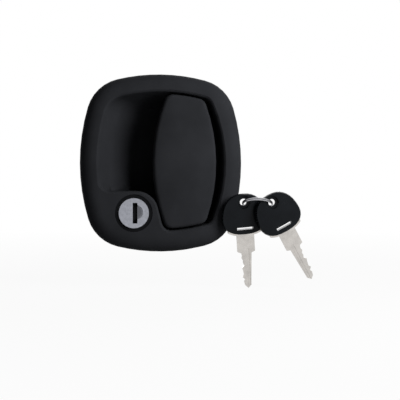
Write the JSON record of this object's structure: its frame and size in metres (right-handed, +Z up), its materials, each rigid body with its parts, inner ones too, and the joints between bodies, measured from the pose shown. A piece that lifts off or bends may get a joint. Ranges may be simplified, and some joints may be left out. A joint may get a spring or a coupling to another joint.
{
  "type": "keyed exterior handle",
  "caption": "Flush-mounted black paddle handle with an arched bezel, a finger bowl, a keyed lock plug, rear levers and a pair of keys on a ring.",
  "frame": {"origin": "middle of the bezel, on the plane of the outer door skin", "axes": "+X to the right along the door, +Y into the door, +Z up the door"},
  "size_m": [0.1596, 0.067, 0.1481],
  "materials": {
    "black_coat": "satin",
    "rubber": "matte",
    "zinc_steel": "satin",
    "black_steel": "satin",
    "spring_steel": "satin",
    "nickel": "satin",
    "key_nickel": "satin",
    "brass": "satin",
    "nylon": "matte",
    "key_plastic": "gloss"
  },
  "bodies": {
    "base": {"housing": "black_coat", "gasket": "rubber", "paddle_pin": "black_steel", "paddle_spring": "spring_steel", "paddle_bumpers": "rubber", "lock_barrel": "black_steel", "barrel_clip": "spring_steel", "lever_pin": "zinc_steel", "lever_clip": "spring_steel", "lever_spring": "spring_steel", "clamp_bracket": "zinc_steel", "mounting_studs": "zinc_steel", "stud_washers": "zinc_steel", "stud_nuts": "zinc_steel"},
    "paddle": {"paddle": "black_coat"},
    "release_lever": {"release_lever": "zinc_steel", "release_rod_clip": "nylon"},
    "lock_plug": {"lock_plug": "nickel", "lock_wafers": "brass", "wafer_springs": "spring_steel", "lock_cam": "zinc_steel", "cam_washer": "zinc_steel", "cam_screw": "zinc_steel", "lock_rod_clip": "nylon"},
    "dust_shutter": {"dust_shutter": "black_steel"},
    "key_set": {"key_blade_1": "key_nickel", "key_head_1": "key_plastic", "key_blade_2": "key_nickel", "key_head_2": "key_plastic", "split_ring": "spring_steel"}
  },
  "joints": [
    {"name": "paddle_pull", "type": "hinge", "parent": "base", "child": "paddle", "pos_m": [0.023, -0.0035, 0], "axis": [0, 0, 1], "range_deg": [0, 35], "stiffness_Nm_per_rad": 0.25, "springref_deg": -17.19, "deforming": ["paddle_spring"]},
    {"name": "lever_swing", "type": "hinge", "parent": "base", "child": "release_lever", "pos_m": [0.0286, 0.01475, -0.027], "axis": [0, -1, 0], "range_deg": [0, 26], "deforming": ["lever_spring"]},
    {"name": "plug_turn", "type": "hinge", "parent": "base", "child": "lock_plug", "pos_m": [-0.0197, 0, -0.0342], "axis": [0, 1, 0], "range_deg": [0, 90]},
    {"name": "shutter_flap", "type": "hinge", "parent": "lock_plug", "child": "dust_shutter", "pos_m": [-0.0162, -0.00855, -0.0342], "axis": [0, 0, -1], "range_deg": [0, 65], "stiffness_Nm_per_rad": 0.0005, "springref_deg": -11.46},
    {"name": "key_set_slide", "type": "slide", "parent": "base", "child": "key_set", "axis": [0, -1, 0], "range_m": [0, 0.04]}
  ],
  "couplings": [
    {"joint": "lever_swing", "follows": "paddle_pull", "ratio": 0.7286}
  ]
}
